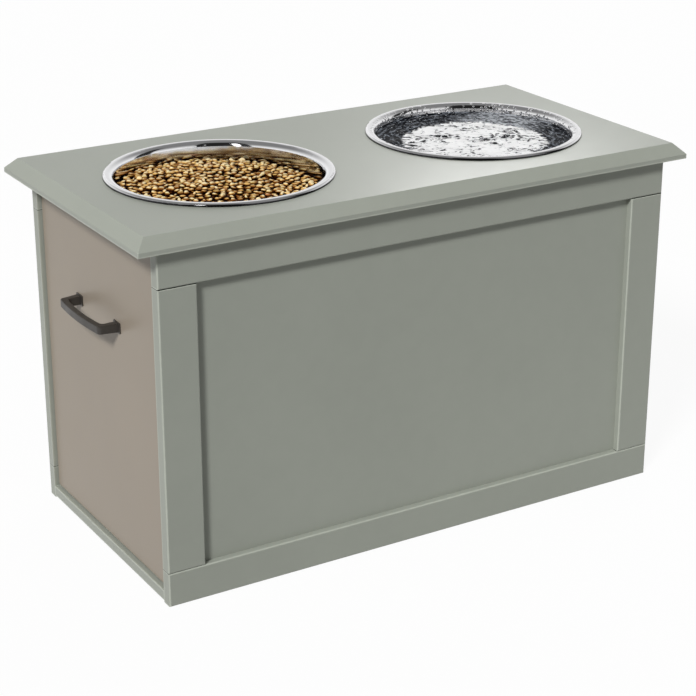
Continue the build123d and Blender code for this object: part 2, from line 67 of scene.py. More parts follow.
# The lowest and the highest roughness of each bowl's steel.
BOWL_ROUGHNESS = {"food_bowl": (0.06, 0.12), "water_bowl": (0.04, 0.09)}
# The painted shadow line under a bowl's lip: where it starts and is full, in from the rim, and where it is
# full and ends, up from the board. Then where the drops of water are full and end, in from the rim.
LIP_SHADE_IN, LIP_SHADE_UP = (0.0024, 0.0014), (0.0013, 0.0021)
LIP_DROPS_IN = (0.0065, 0.0045)

# A bowl's filling: how far above the bowl's lowest point it starts, the rows up its side, its flat foot as a
# share of the lowest row's radius, and the slack with which its top is found.
FILL_LIFT, FILL_ROWS, FILL_FOOT, TOP_SLACK = 0.0012, 9, 0.93, 1e-6

# The bed lies this many food widths under the food.
BED_DEPTH, BED_RINGS = 1.1, 20
# The shapes of dry food, as share of its size, flatness, stretch and depth of the dent.
KIBBLE_SHAPES = (
    (1.0, 0.40, 1.02, 0.30), (0.9, 0.44, 1.14, 0.10), (1.06, 0.37, 1.06, 0.40), (0.86, 0.48, 1.08, 0.0),
)
KIBBLE_SEED, LAYER_SEED, LAYER_THROWS = 11, 31, 26000
# How many food widths each layer lies below the heap's top, and how much closer each one is than the last.
LAYER_DROPS, LAYER_TIGHTENING = (0.0, 0.36), 0.1
KIBBLE_LIFTS, KIBBLE_GROWTH = (-0.0009, 0.0007), (0.86, 1.10)
# How far pieces tilt, how far some of them do, and the share of those.
TILT, STRONG_TILT, STRONG_SHARE = 0.26, 0.70, 0.15
# The shadow between pieces starts this far above a piece's middle, is full this many food widths lower, and
# is this much stronger in the second layer.
SHADOW_START, SHADOW_REACH, LAYER_SHADOW = 0.0010, 0.20, 0.72

WATER_RINGS, WATER_GAP = 64, 0.0003
# Ripples, as waves per metre, the height at which the noise is cut, and share of the ripples' height.
RIPPLES = ((62, 0.3, 1.0), (150, 4.1, 0.45))
# How fast ripples rise away from the wall, and how high and how far in from it the water clings.
RIPPLE_RISE, CLING_HEIGHT, CLING_REACH = 9, 0.0011, 0.0022
# From the bowl's axis to its painted bright base and to the painted gleam of its wall, as they show through
# the water, and how far from its middle the gleam starts to fade and is gone.
BASE_SHIFT, GLEAM_SHIFT, GLEAM_FADE = (-0.0072, -0.0129, 0), (0.060, 0.036, 0), (0.016, 0.062)

# Lamps far away, as name, direction towards it, strength, and the degrees that it spans.
SUNS = (
    ("key_light", (-1.45, -1.0, 1.43), 2.74, 12),
    ("top_light", (-0.1, -0.2, 1.0), 0.47, 60),
    ("rear_light", (0.9, 1.0, 0.22), 1.05, 50),
)
# Lamps that are only a gleam, as name, place, aim, size, power, and the nodes whose finishes show it.
STRIPS = (
    ("back_light", (0.535, 0.45, 0.90), (0.11, -0.13, 0.36), (0.28, 0.24), 7.5, PAINTED_BOARDS),
    ("window_light", (-1.26, -1.00, 1.10), (-0.145, -0.003, 0.36), (0.20, 1.40), 2.6, ("food_bowl",)),
)
# Dark cards for polish to show, as direction, half width in degrees, lowest and highest rise, and level, and
# how softly they end to the sides, in degrees, and upwards.
CARDS = (
    ((-0.52, -0.86, 0), 30, (0.08, 0.92), 0.02),
    ((0.91, -0.41, 0), 11, (0.10, 0.75), 0.03),
)
CARD_SIDE_FADE, CARD_RISE_FADE = 4, 0.06

CAMERA_TARGET = Vector((-0.00524, -0.006, 0.15425))
CAMERA_TURN, CAMERA_RISE, CAMERA_DISTANCE = -31.03, 21.666, 1.9078
CAMERA_LENS, CAMERA_SENSOR = 96.90, 36

# The two ways in which a mask can run, and the range that nearly all of a noise keeps to.
RISING, FALLING, NOISE_RANGE = (0.0, 1.0), (1.0, 0.0), (0.3, 0.7)


def shade(red, green, blue):
    """The colour that shows on screen as these 0 to 255 values."""
    return tuple(
        value / 255 / 12.92 if value <= 10 else ((value / 255 + 0.055) / 1.055) ** 2.4
        for value in (red, green, blue)
    )


def colour_property(name, description, default):
    """A colour that a user can change."""
    return bpy.props.FloatVectorProperty(
        name=name, description=description, subtype="COLOR", size=3, min=0, max=1, default=default)


def length_property(name, description, default):
    """A length that a user can change."""
    return bpy.props.FloatProperty(
        name=name, description=description, subtype="DISTANCE", unit="LENGTH", min=0, default=default)


# ---------------- what a user can change

class FeederColours(bpy.types.PropertyGroup):
    """Colours of the feeder's finishes."""

    board_paint: colour_property(
        "Board Paint", "Satin paint of the frames, panels and top", shade(161, 165, 155))
    drawer_paint: colour_property("Drawer Paint", "Satin paint of the drawer front", shade(157, 146, 132))
    inner_board: colour_property(
        "Inner Board", "Lacquered fibreboard of the drawer box", shade(207, 182, 146))
    hardboard: colour_property("Hardboard", "Face of the drawer bottom", shade(226, 221, 211))
    beech: colour_property("Beech", "Wood of the dowels", shade(222, 190, 146))
    steel: colour_property("Steel", "Polished steel of the bowls", (0.80, 0.80, 0.81))
    runner: colour_property("Runner Coat", "Baked coat of the runners", shade(232, 231, 226))
    nylon: colour_property("Nylon", "Rollers", shade(238, 235, 224))
    zinc: colour_property("Zinc", "Plating of the screws and pins", (0.66, 0.67, 0.70))
    handle: colour_property("Handle", "Powder coat of the handle", shade(56, 52, 48))
    kibble_light: colour_property("Kibble Light", "Palest pieces of dry food", shade(248, 198, 112))
    kibble_dark: colour_property("Kibble Dark", "Darkest pieces of dry food", shade(150, 94, 28))
    # Painted reflections and light on the water: dark over the bowl's wall, bright over its base.
    painted_dark_water: colour_property("Deep Water", "Water over the bowl's wall", shade(12, 15, 21))
    painted_bright_water: colour_property("Bright Water", "Water over the bowl's base", shade(254, 254, 254))


class FeederSizes(bpy.types.PropertyGroup):
    """Sizes of the finishes and of what the bowls hold."""

    paint_grain: length_property("Paint Grain", "Width of the small bumps that a paint roller leaves", 0.0011)
    # Partly thinner paint and partly a painted highlight along a board's edges.
    edge_wear_and_highlight: length_property("Edge Band", "How far the paint is thinned along a board's edges", 0.0011)
    # Painted shade: the width of the dark line painted where a stile meets a rail.
    joint_shade_line: length_property("Joint Line", "Width of the dark line where a stile meets a rail", 0.0007)
    kibble_size: length_property("Kibble Size", "Width of one piece of dry food", 0.0070)
    kibble_gap: length_property("Kibble Gap", "Least distance between the middles of two pieces", 0.0056)
    kibble_edge: length_property("Kibble Edge", "How far below the rim the food meets the bowl", 0.0175)
    kibble_heap: length_property("Kibble Heap", "How far the food rises to its middle", 0.0085)
    kibble_slope: length_property("Kibble Slope", "How much lower the food lies on one side", 0.0030)
    water_drop: length_property("Water Level", "How far below the rim the water stands", 0.0090)
    water_ripple: length_property("Ripple", "Height of the ripples", 0.0012)
    floor_size: length_property("Floor Size", "Length of each side of the floor", 16.0)


# ---------------- nodes

def fill_socket(tree, socket, value):
    """Links another node's output to an input, or sets the input to a plain value."""
    if isinstance(value, bpy.types.NodeSocket):
        tree.links.new(value, socket)
    else:
        socket.default_value = (*value[:3], 1) if socket.type == "RGBA" else value


def wire(tree, kind, feeds=None, out=0, **settings):
    """Adds a node, feeds its inputs with values or other nodes' outputs, and returns one of its outputs."""
    node = tree.nodes.new(kind)
    for name, value in settings.items():
        setattr(node, name, value)
    for key, value in (feeds or {}).items():
        fill_socket(tree, node.inputs[key], value)
    return node.outputs[out]


def maths(tree, operation, first, second=0.0, clamp=False):
    """One step of arithmetic on two numbers."""
    return wire(tree, "ShaderNodeMath", {0: first, 1: second}, operation=operation, use_clamp=clamp)


def vector_maths(tree, operation, first, second=(0, 0, 0), out="Vector"):
    """One step of arithmetic on one or two vectors."""
    return wire(tree, "ShaderNodeVectorMath", {0: first, 1: second}, out=out, operation=operation)


def scaled(tree, vector, factor):
    """The vector made longer or shorter."""
    return wire(tree, "ShaderNodeVectorMath", {0: vector, "Scale": factor}, operation="SCALE")


def parts_of(tree, vector):
    """The X, Y and Z of a vector."""
    node = tree.nodes.new("ShaderNodeSeparateXYZ")
    tree.links.new(vector, node.inputs[0])
    return node.outputs


def blend_colours(tree, factor, first, second, blend_type="MIX"):
    """The first colour, turned to the second by a factor."""
    return wire(tree, "ShaderNodeMix", {0: factor, 6: first, 7: second}, out=2,
                data_type="RGBA", blend_type=blend_type)


def grey(tree, level):
    """A grey of this level."""
    return wire(tree, "ShaderNodeCombineColor", {0: level, 1: level, 2: level})


def lit_by(tree, colour, level):
    """The colour made darker or lighter, where a level of 1 leaves it as it is."""
    return blend_colours(tree, 1.0, colour, grey(tree, level), "MULTIPLY")


def spread(tree, value, between, onto=RISING, smooth=True):
    """The value's range laid onto another range, and held at its ends."""
    ends = {"From Min": between[0], "From Max": between[1], "To Min": onto[0], "To Max": onto[1]}
    return wire(tree, "ShaderNodeMapRange", {"Value": value, **ends},
                interpolation_type="SMOOTHSTEP" if smooth else "LINEAR")


def speckle(tree, vector, scale, detail=2.0, roughness=0.5, distortion=0.0):
    """Noise of this many waves per metre."""
    return wire(tree, "ShaderNodeTexNoise", {
        "Vector": vector, "Scale": scale, "Detail": detail, "Roughness": roughness, "Distortion": distortion})


def drawn_out(tree, vector, scale, *noise_settings):
    """Noise on a place that is first scaled along X, Y and Z."""
    return speckle(tree, wire(tree, "ShaderNodeMapping", {"Vector": vector, "Scale": scale}), *noise_settings)


def flat_part(tree, place):
    """The place without its height."""
    return vector_maths(tree, "MULTIPLY", place, (1, 1, 0))


def reach_from_axis(tree, place):
    """How far a place is from the Z axis."""
    return vector_maths(tree, "LENGTH", flat_part(tree, place), out="Value")


# ---------------- groups

PLACE_INPUT = ("Place", "vector", (0, 0, 0))
COLOUR_INPUT = ("Colour", "colour", (0.5, 0.5, 0.5, 1))
EDGE_INPUT = ("Edge", "value", 0.0)
SURFACE_OUTPUTS = (("Colour", "colour"), ("Roughness", "value"), ("Height", "value"))


def start_group(name, inputs, outputs):
    """An empty shader node group, with its input node's outputs and its output node's inputs."""
    group = bpy.data.node_groups.new(name, "ShaderNodeTree")
    kinds = {"value": "NodeSocketFloat", "colour": "NodeSocketColor", "vector": "NodeSocketVector"}
    for label, kind, default in inputs:
        socket = group.interface.new_socket(name=label, in_out="INPUT", socket_type=kinds[kind])
        socket.default_value = default
    for label, kind in outputs:
        group.interface.new_socket(name=label, in_out="OUTPUT", socket_type=kinds[kind])
    return group, group.nodes.new("NodeGroupInput").outputs, group.nodes.new("NodeGroupOutput").inputs


def put_out(group, result, **values):
    """Links what a group has worked out to its outputs."""
    for label, value in values.items():
        group.links.new(value, result[label])


def use_group(tree, name, **feeds):
    """Places a group in a material, with that material's own values, and returns the group's outputs."""
    node = tree.nodes.new("ShaderNodeGroup")
    node.node_tree = bpy.data.node_groups[name]
    for label, value in feeds.items():
        fill_socket(tree, node.inputs[label], value)
    return node.outputs


def build_edge_band():
    """A mask that is 1 along the twelve edges of a board's box and falls to 0 a band's width away."""
    group, given, result = start_group(
        "Edge Band",
        [PLACE_INPUT, ("Low", "vector", (0, 0, 0)), ("High", "vector", (1, 1, 1)), ("Width", "value", 0.002)],
        [("Mask", "value")])
    below = vector_maths(group, "SUBTRACT", given["Place"], given["Low"])
    above = vector_maths(group, "SUBTRACT", given["High"], given["Place"])
    first, second, third = parts_of(group, vector_maths(group, "MINIMUM", below, above))
    smaller = maths(group, "MINIMUM", first, second)
    larger = maths(group, "MAXIMUM", first, second)
    middle = maths(group, "MAXIMUM", smaller, maths(group, "MINIMUM", larger, third))
    ragged = maths(group, "MULTIPLY", speckle(group, given["Place"], 140.0, 3.0), given["Width"])
    reach = maths(group, "SUBTRACT", middle, ragged)
    put_out(group, result, Mask=spread(group, reach, (0.0, given["Width"]), FALLING))


def build_rolled_paint():
    """Satin paint from a small roller: fine peel, some unevenness, edges paler from thin paint and a painted
    highlight.
    """
    group, given, result = start_group(
        "Rolled Paint",
        [PLACE_INPUT, COLOUR_INPUT, EDGE_INPUT, ("Grain", "value", 0.001), ("Dullness", "value", 0.42)],
        SURFACE_OUTPUTS)
    tone = speckle(group, given["Place"], 5.5, 3.0)
    mottle = speckle(group, given["Place"], 60.0, 4.0)
    level = maths(group, "ADD", spread(group, tone, NOISE_RANGE, (0.975, 1.020)),
                  spread(group, mottle, NOISE_RANGE, (-0.010, 0.010)))
    # Paler along the edges: partly thinner paint, partly a painted highlight where the edges catch the light.
    level = maths(group, "ADD", level, maths(group, "MULTIPLY", given["Edge"], 0.28))
    peel = speckle(group, given["Place"], maths(group, "DIVIDE", 1.0, given["Grain"]), 2.0, 0.45)
    swell = speckle(group, given["Place"], 95.0, 2.0)
    rough = maths(group, "ADD", given["Dullness"], spread(group, mottle, NOISE_RANGE, (-0.015, 0.020)))
    put_out(group, result,
            Colour=lit_by(group, given["Colour"], level),
            Roughness=maths(group, "SUBTRACT", rough, maths(group, "MULTIPLY", given["Edge"], 0.05)),
            Height=maths(group, "ADD", peel, maths(group, "MULTIPLY", swell, 0.5)))


def build_pressed_fibres():
    """Board pressed from fine wood fibres, with short darker strands that lie along X and along Z."""
    group, given, result = start_group(
        "Pressed Fibres", [PLACE_INPUT, COLOUR_INPUT, ("Contrast", "value", 1.0)], SURFACE_OUTPUTS)
    long_strands = drawn_out(group, given["Place"], (180.0, 900.0, 900.0), 1.0, 3.0)
    cross_strands = drawn_out(group, given["Place"], (900.0, 900.0, 180.0), 1.0, 3.0)
    strands = maths(group, "MAXIMUM", long_strands, cross_strands)
    clouds = speckle(group, given["Place"], 26.0, 4.0)
    level = maths(group, "ADD", spread(group, strands, (0.45, 0.75), (0.06, -0.16)),
                  spread(group, clouds, NOISE_RANGE, (-0.05, 0.05)))
    level = maths(group, "ADD", maths(group, "MULTIPLY", level, given["Contrast"]), 1.0)
    put_out(group, result,
            Colour=lit_by(group, given["Colour"], level),
            Roughness=spread(group, strands, (0.4, 0.7), (0.52, 0.66)),
            Height=strands)


def build_straight_grain():
    """Straight wood grain along Z of the place that it is given, with small pores."""
    group, given, result = start_group("Straight Grain", [PLACE_INPUT, COLOUR_INPUT], SURFACE_OUTPUTS)
    lines = drawn_out(group, given["Place"], (700.0, 700.0, 35.0), 1.0, 4.0, 0.6, 0.4)
    pores = drawn_out(group, given["Place"], (2600.0, 2600.0, 260.0), 1.0, 1.0)
    level = maths(group, "ADD", spread(group, lines, NOISE_RANGE, (0.82, 1.08)),
                  spread(group, pores, (0.62, 0.75), (0.0, -0.18)))
    put_out(group, result,
            Colour=lit_by(group, given["Colour"], level),
            Roughness=spread(group, lines, NOISE_RANGE, (0.62, 0.5)),
            Height=maths(group, "SUBTRACT", lines, pores))


def build_turned_rings():
    """Fine rings about an axis along Z through the place's origin, as a spinning tool or lathe leaves."""
    group, given, result = start_group(
        "Turned Rings",
        [PLACE_INPUT, ("Pitch", "value", 0.0006), ("Smooth", "value", 0.06), ("Rough", "value", 0.16)],
        [("Roughness", "value"), ("Height", "value"), ("Level", "value")])
    radius = reach_from_axis(group, given["Place"])
    drop = maths(group, "MULTIPLY", parts_of(group, given["Place"])["Z"], 0.8)
    steps = maths(group, "DIVIDE", maths(group, "ADD", radius, drop), given["Pitch"])
    rings, broad = (
        wire(group, "ShaderNodeTexNoise", {"W": line, "Scale": 1.0, "Detail": 2.0}, noise_dimensions="1D")
        for line in (steps, maths(group, "MULTIPLY", steps, 0.07)))
    handled = speckle(group, given["Place"], 34.0, 3.0)
    mixed = maths(group, "MULTIPLY", maths(group, "ADD", rings, handled), 0.5)
    put_out(group, result,
            Roughness=spread(group, mixed, NOISE_RANGE, (given["Smooth"], given["Rough"]), smooth=False),
            Height=maths(group, "ADD", rings, maths(group, "MULTIPLY", broad, 3.0)),
            Level=spread(group, broad, NOISE_RANGE, (0.94, 1.04)))


def build_coated_metal():
    """A baked or powdered coat on metal: fine pebbling, with thinner, brighter colour on raised specks."""
    group, given, result = start_group(
        "Coated Metal",
        [PLACE_INPUT, COLOUR_INPUT, EDGE_INPUT, ("Grain", "value", 0.0004), ("Dullness", "value", 0.45)],
        SURFACE_OUTPUTS)
    rate = maths(group, "DIVIDE", 1.0, given["Grain"])
    pebbles = wire(group, "ShaderNodeTexVoronoi", {"Vector": given["Place"], "Scale": rate})
    drift = speckle(group, given["Place"], 70.0, 4.0)
    level = maths(group, "ADD", spread(group, pebbles, (0.0, 0.7), (1.10, 0.94)),
                  spread(group, drift, NOISE_RANGE, (-0.06, 0.06)))
    level = maths(group, "ADD", level, maths(group, "MULTIPLY", given["Edge"], 0.35))
    put_out(group, result,
            Colour=lit_by(group, given["Colour"], level),
            Roughness=maths(group, "ADD", given["Dullness"],
                            spread(group, drift, NOISE_RANGE, (-0.06, 0.08))),
            Height=maths(group, "SUBTRACT", 1.0, pebbles))


# ---------------- finishes

def ray_kinds(tree):
    """Whether a ray comes straight from the camera, and whether it comes from polish or glass."""
    paths = tree.nodes.new("ShaderNodeLightPath").outputs
    mirrored = maths(tree, "ADD", paths["Is Glossy Ray"], paths["Is Transmission Ray"], clamp=True)
    return paths["Is Camera Ray"], mirrored


def start_finish(name):
    """A new material with its tree, its shader and the place on the piece."""
    finish = bpy.data.materials.new(name)
    finish.use_nodes = True
    tree = finish.node_tree
    return finish, tree, tree.nodes["Principled BSDF"], wire(tree, "ShaderNodeTexCoord", out="Object")


def feed(tree, shader, colour, roughness=None, height=None, depth=0.0, strength=1.0):
    """Links a material's colour, and where they are given its roughness and its bumps, to its shader."""
    tree.links.new(colour, shader.inputs["Base Color"])
    if roughness is not None:
        tree.links.new(roughness, shader.inputs["Roughness"])
    if height is not None:
        bumped = wire(tree, "ShaderNodeBump", {"Height": height, "Distance": depth, "Strength": strength})
        tree.links.new(bumped, shader.inputs["Normal"])


def feed_surface(tree, shader, surface, depth, strength):
    """Links all that a surface group puts out to its material's shader."""
    feed(tree, shader, surface["Colour"], surface["Roughness"], surface["Height"], depth, strength)


def hold(shader, settings):
    """Sets the shader's inputs that are the same all over the surface."""
    for label, value in settings.items():
        shader.inputs[label].default_value = value


def board_edges(tree, place, node, width):
    """The mask of a board's edges."""
    low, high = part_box(node)
    return use_group(tree, "Edge Band", Place=place, Low=low, High=high, Width=width)["Mask"]


def turned_to(tree, place, centre, along):
    """The place moved to a turned piece's centre, with the piece's axis laid along Z."""
    moved = vector_maths(tree, "SUBTRACT", place, centre)
    turns = {"X": (0, math.pi / 2, 0), "Y": (math.pi / 2, 0, 0), "Z": (0, 0, 0)}
    return wire(tree, "ShaderNodeMapping", {"Vector": moved, "Rotation": turns[along]})


def satin_paint(name, node, colour):
    """Satin paint, with a painted shade line at the ends of a stile, where it meets a rail."""
    finish, tree, shader, place = start_finish(name)
    sizes = bpy.context.scene.feeder_sizes
    edge = board_edges(tree, place, node, sizes.edge_wear_and_highlight)
    paint = use_group(
        tree, "Rolled Paint", Place=place, Colour=colour, Grain=sizes.paint_grain, Edge=edge, Dullness=0.35)
    shown = paint["Colour"]
    if "stile" in node:
        low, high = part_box(node)
        height = parts_of(tree, place)["Z"]
        nearest = maths(tree, "MINIMUM", maths(tree, "SUBTRACT", height, low.z),
                        maths(tree, "SUBTRACT", high.z, height))
        # Painted shade in the seam at each end of a stile, where the rails meet it.
        joint_shade = spread(tree, nearest, (sizes.joint_shade_line * 0.7, sizes.joint_shade_line), FALLING)
        shown = blend_colours(tree, joint_shade, shown, shade(40, 42, 38))
    feed(tree, shader, shown, paint["Roughness"], paint["Height"], depth=0.00003, strength=0.5)
    hold(shader, {"Specular IOR Level": 0.22})
    return finish


def pressed_board(name, colour, contrast):
    """Fibreboard or hardboard under thin lacquer."""
    finish, tree, shader, place = start_finish(name)
    fibres = use_group(tree, "Pressed Fibres", Place=place, Colour=colour, Contrast=contrast)
    feed_surface(tree, shader, fibres, depth=0.00005, strength=0.4)
    hold(shader, {"Coat Weight": 0.12, "Coat Roughness": 0.35})
    return finish


def beech_wood(name, along):
    """Bare beech, with its grain along the dowels."""
    finish, tree, shader, place = start_finish(name)
    turned = turned_to(tree, place, (0, 0, 0), along)
    grain = use_group(tree, "Straight Grain", Place=turned, Colour=bpy.context.scene.feeder_colours.beech)
    feed_surface(tree, shader, grain, depth=0.00008, strength=0.5)
    return finish


def turned_rings(tree, place, pitch, roughness):
    """The rings of a turned piece, between its lowest and highest roughness."""
    return use_group(
        tree, "Turned Rings", Place=place, Pitch=pitch, Smooth=roughness[0], Rough=roughness[1])


def polished_steel(node, roughness, splashed):
    """Spun, polished steel, with a painted shadow line where the lip meets the board, and drops if it is
    splashed.
    """
    finish, tree, shader, place = start_finish(f"Polished Steel {node}")
    low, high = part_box(node)
    rim = (high.x - low.x) / 2
    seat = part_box("top_board")[1].z - low.z
    turned = turned_to(tree, place, (*bowl_axis(node), low.z), "Z")
    rings = turned_rings(tree, turned, 0.0007, roughness)
    reach = reach_from_axis(tree, turned)
    lip_shade_reach = spread(tree, reach, [rim - inward for inward in LIP_SHADE_IN])
    lip_shade_height = spread(tree, parts_of(tree, turned)["Z"], [seat + upward for upward in LIP_SHADE_UP], FALLING)
    bright = lit_by(tree, bpy.context.scene.feeder_colours.steel, rings["Level"])
    # Painted shadow: the lip's outer foot turns near black where it meets the board.
    shown = blend_colours(tree, maths(tree, "MULTIPLY", lip_shade_reach, lip_shade_height), bright, (0.03, 0.03, 0.032))
    feed(tree, shader, shown, rings["Roughness"], rings["Height"], depth=0.00001, strength=0.35)
    if splashed:
        patches = spread(tree, speckle(tree, turned, 38.0), (0.40, 0.52), (0.1, 1.0))
        inside = spread(tree, reach, [rim - inward for inward in LIP_DROPS_IN], FALLING)
        spaced = wire(tree, "ShaderNodeTexVoronoi", {"Vector": turned, "Scale": 260.0})
        drops = maths(tree, "MULTIPLY", spread(tree, spaced, (0.10, 0.42), FALLING),
                      maths(tree, "MULTIPLY", inside, patches))
        polished = shader.inputs["Normal"].links[0].from_socket
        beaded = wire(tree, "ShaderNodeBump", {"Height": drops, "Distance": 0.0010, "Normal": polished})
        tree.links.new(beaded, shader.inputs["Normal"])
    hold(shader, {"Metallic": 1.0})
    return finish


def coated_metal(name, colour, grain, dullness, edge_node=None):
    """A coat on metal, thin along the edges of a node if one is named."""
    finish, tree, shader, place = start_finish(name)
    edge = board_edges(tree, place, edge_node, 0.0012) if edge_node else 0.0
    coat = use_group(
        tree, "Coated Metal", Place=place, Colour=colour, Grain=grain, Edge=edge, Dullness=dullness)
    feed_surface(tree, shader, coat, depth=0.00004, strength=0.5)
    return finish


def turned_nylon(name, centre):
    """Turned nylon that lets a little light in."""
    finish, tree, shader, place = start_finish(name)
    rings = turned_rings(tree, turned_to(tree, place, centre, "Y"), 0.0005, (0.30, 0.48))
    colour = lit_by(tree, bpy.context.scene.feeder_colours.nylon, rings["Level"])
    feed(tree, shader, colour, rings["Roughness"], rings["Height"], depth=0.00003, strength=0.5)
    hold(shader, {"Subsurface Weight": 0.15, "Subsurface Radius": (0.002, 0.002, 0.0015)})
    return finish


def plated_zinc(name):
    """Zinc plating with a faint spangle."""
    finish, tree, shader, place = start_finish(name)
    spangle = wire(tree, "ShaderNodeTexVoronoi", {"Vector": place, "Scale": 700.0}, out="Color")
    drift = speckle(tree, place, 240.0, 3.0)
    tinted = blend_colours(tree, 0.10, bpy.context.scene.feeder_colours.zinc, spangle)
    rough = spread(tree, drift, NOISE_RANGE, (0.26, 0.42))
    feed(tree, shader, tinted, rough, drift, depth=0.00002, strength=0.4)
    hold(shader, {"Metallic": 1.0})
    return finish


def baked_kibble(name):
    """Each piece's tone, painted shade deep in the heap, painted highlights on top, a floury bloom and small
    pits.
    """
    finish, tree, shader, place = start_finish(name)
    colours = bpy.context.scene.feeder_colours
    tone, hue, deep = (wire(tree, "ShaderNodeAttribute", out="Fac", attribute_name=label)
                       for label in ("tone", "hue", "deep"))
    crumbs = speckle(tree, place, 900.0, 4.0, 0.6)
    patches = speckle(tree, place, 260.0, 2.0)
    shown = blend_colours(tree, tone, colours.kibble_dark, colours.kibble_light)
    # Tone and hue differ at random; deep gives painted shade on sides and between pieces, and a painted
    # highlight on tops.
    for value, between, most, colour in (
            (hue, (0.72, 0.98), 0.6, shade(170, 146, 66)),         # olive pieces
            (hue, (0.012, 0.006), 0.7, shade(190, 92, 50)),        # a few reddish pieces
            (patches, (0.5, 0.75), 0.35, shade(122, 84, 40)),      # browned patches
            (crumbs, (0.50, 0.70), 0.55, shade(254, 231, 178)),    # floury bloom
            (deep, (-0.05, -0.45), 0.75, shade(255, 240, 194)),    # painted highlight on the tops
            (deep, (-0.1, 0.45), 1.0, shade(112, 58, 0)),          # shaded sides
            (deep, (0.3, 0.9), 1.0, shade(30, 6, 0))):             # painted shade sunk between the others
        shown = blend_colours(tree, spread(tree, value, between, (0.0, most)), shown, colour)
    rough = spread(tree, crumbs, NOISE_RANGE, (0.45, 0.7))
    feed(tree, shader, shown, rough, crumbs, depth=0.0004, strength=0.6)
    hold(shader, {"Specular IOR Level": 0.15})
    return finish


def kibble_shadow(name):
    """Painted shade that shows between pieces of dry food."""
    finish, tree, shader, place = start_finish(name)
    lumps = speckle(tree, place, 150.0, 3.0)
    colour = blend_colours(tree, spread(tree, lumps, (0.35, 0.65)), shade(26, 8, 2), shade(58, 30, 8))
    rough = spread(tree, lumps, NOISE_RANGE, (0.7, 0.9))
    feed(tree, shader, colour, rough, lumps, depth=0.003, strength=0.8)
    hold(shader, {"Specular IOR Level": 0.05})
    return finish


def rippled_water(name, centre, radius):
    """Water painted as the bowl's bright base in the middle and its dark wall round it, broken by ripple
    reflections.
    """
    finish, tree, shader, place = start_finish(name)
    colours = bpy.context.scene.feeder_colours
    moved = vector_maths(tree, "SUBTRACT", place, centre)
    wobble = wire(tree, "ShaderNodeTexNoise", {"Vector": moved, "Scale": 55.0, "Detail": 4.0}, out="Color")
    pushed = scaled(tree, vector_maths(tree, "SUBTRACT", wobble, (0.5, 0.5, 0.5)), 0.011)
    shifted = vector_maths(tree, "ADD", moved, pushed)

    turned = wire(tree, "ShaderNodeMapping", {"Vector": shifted, "Rotation": (0, 0, math.radians(31))})
    flecks = drawn_out(tree, turned, (1.0, 1.7, 1.0), 170.0, 3.0, 0.5, 0.6)
    clusters = speckle(tree, moved, 34.0, 2.0)
    dotted = maths(tree, "ADD", flecks, spread(tree, clusters, (0.35, 0.68), (-0.10, 0.08)))
    # Painted reflections of ripples on the bright base: pale grey dots and dark flecks.
    pale_dots = spread(tree, dotted, (0.46, 0.58), (0.0, 0.28))
    bright = blend_colours(tree, pale_dots, colours.painted_bright_water, shade(150, 156, 164))
    bright = blend_colours(tree, spread(tree, dotted, (0.562, 0.590)), bright, shade(14, 16, 20))

    # Painted reflections of ripples on the dark ring: pale streaks round it.
    arcs = speckle(tree, ringed_place(tree, shifted), 1.0, 4.0, 0.6, 0.8)
    ripples = speckle(tree, moved, 230.0, 3.0, 0.6, 0.4)
    streaks = maths(tree, "ADD", maths(tree, "MULTIPLY", arcs, 0.5), maths(tree, "MULTIPLY", ripples, 0.5))
    pale_streaks = spread(tree, streaks, (0.49, 0.62), (0.0, 0.78))
    deep = blend_colours(tree, pale_streaks, colours.painted_dark_water, shade(140, 146, 155))
    # A painted gleam of the wall, fading out from a spot beside the bowl's axis.
    from_gleam = reach_from_axis(tree, vector_maths(tree, "SUBTRACT", shifted, GLEAM_SHIFT))
    gleam = maths(tree, "MULTIPLY", spread(tree, from_gleam, GLEAM_FADE, FALLING),
                  spread(tree, streaks, (0.42, 0.57), (0.12, 0.95)))
    deep = blend_colours(tree, gleam, deep, shade(190, 194, 200))
    # Painted glints on the ripples.
    sparkle = speckle(tree, moved, 330.0, 2.0, 0.5, 0.3)
    deep = blend_colours(tree, spread(tree, sparkle, (0.66, 0.70), (0.0, 0.9)), deep, shade(226, 230, 234))

    # The painted bright base, shifted a little towards the front left, with frayed edges.
    from_base = reach_from_axis(tree, vector_maths(tree, "SUBTRACT", shifted, BASE_SHIFT))
    frayed = maths(tree, "ADD", from_base, spread(tree, flecks, NOISE_RANGE, (-0.004, 0.004)))
    base_mask = spread(tree, frayed, (radius * 0.705, radius * 0.745), FALLING)
    colour = blend_colours(tree, base_mask, deep, bright)
    rough = spread(tree, streaks, NOISE_RANGE, (0.02, 0.05))
    feed(tree, shader, colour, rough, flecks, depth=0.0003, strength=0.3)
    hold(shader, {"IOR": 1.333, "Specular IOR Level": 0.01})
    return finish


def ringed_place(tree, place):
    """A place on which noise runs round the Z axis in streaks."""
    facing = scaled(tree, vector_maths(tree, "NORMALIZE", flat_part(tree, place)), 5.0)
    rings = maths(tree, "MULTIPLY", reach_from_axis(tree, place), 260.0)
    return vector_maths(tree, "ADD", facing, wire(tree, "ShaderNodeCombineXYZ", {"Z": rings}))


def give(node, finish):
    """Puts a finish on a CAD node, in place of the one that it came with."""
    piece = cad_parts[node]
    piece.data.materials.clear()
    piece.data.materials.append(finish)


# ---------------- shapes

def clear_selection():
    """Leaves edit mode and selects nothing."""
    if bpy.context.mode != "OBJECT":
        bpy.ops.object.mode_set(mode="OBJECT")
    bpy.ops.object.select_all(action="DESELECT")


def bowl_axis(node):
    """Where the bowl's axis stands, as X and Y."""
    low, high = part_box(node)
    return (low.x + high.x) / 2, (low.y + high.y) / 2


